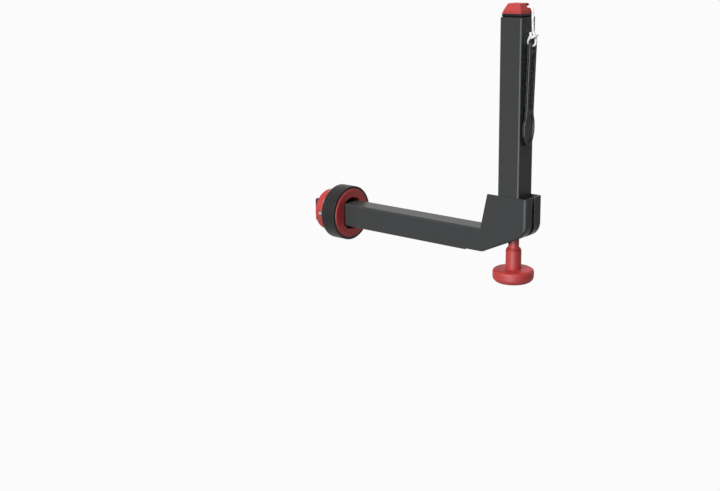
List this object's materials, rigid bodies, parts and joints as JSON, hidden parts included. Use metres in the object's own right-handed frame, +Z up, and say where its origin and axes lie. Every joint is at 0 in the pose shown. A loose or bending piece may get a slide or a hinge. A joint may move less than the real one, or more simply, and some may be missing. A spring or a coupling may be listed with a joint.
{
  "type": "table tennis net post clamp",
  "caption": "Net post on a pivoting arm for the edge of a table tennis table, with a height screw and hand knob and a rubber strap that tightens the net's headline.",
  "frame": {"origin": "centre of the pivot ring's front face, on the axis of the arm", "axes": "+X outward along the arm, +Z up along the post, +Y along the table's long side, so the net lies in the plane Y = 0"},
  "size_m": [0.2487, 0.0528, 0.2408],
  "materials": {
    "coated_steel": "satin powder coat",
    "red_plastic": "satin moulded",
    "black_plastic": "satin moulded",
    "black_rubber": "satin moulded",
    "zinc_steel": "bright zinc",
    "pale_nylon": "plain",
    "white_cord": "braided"
  },
  "bodies": {
    "table_ring": {"pivot_ring": "black_plastic"},
    "arm": {"table_bush": "red_plastic", "bush_clip": "zinc_steel", "bush_pin": "zinc_steel", "arm_tube": "coated_steel", "arm_end_plug": "black_plastic", "front_bracket_shell": "coated_steel", "rear_bracket_shell": "coated_steel", "thrust_plate": "coated_steel", "thrust_pad": "pale_nylon", "inner_guide_block": "black_plastic", "outer_guide_block": "black_plastic"},
    "knob": {"adjuster_screw": "zinc_steel", "adjuster_knob": "red_plastic"},
    "post": {"post_tube": "coated_steel", "foot_insert": "black_plastic", "foot_nut": "zinc_steel", "cap_seat": "black_plastic", "post_cap": "red_plastic", "strap_peg": "coated_steel", "tension_cord": "white_cord"},
    "strap": {"tension_strap": "black_rubber"}
  },
  "joints": [
    {"name": "arm_pivot", "type": "hinge", "parent": "table_ring", "child": "arm", "pos_m": [0, 0, 0], "axis": [1, 0, 0], "range_deg": [0, 90]},
    {"name": "post_lift", "type": "slide", "parent": "arm", "child": "post", "axis": [0, 0, 1], "range_m": [-0.005, 0.005]},
    {"name": "knob_turn", "type": "hinge", "parent": "arm", "child": "knob", "pos_m": [0.1897, 0, -0.02], "axis": [0, 0, 1], "range_deg": [-1440, 1440]},
    {"name": "strap_swing", "type": "hinge", "parent": "post", "child": "strap", "pos_m": [0.2046, 0, 0.189], "axis": [0, -1, 0], "range_deg": [0, 100], "deforming": ["tension_cord"]}
  ],
  "couplings": [
    {"joint": "knob_turn", "follows": "post_lift", "rad_per_m": -5026.5}
  ]
}
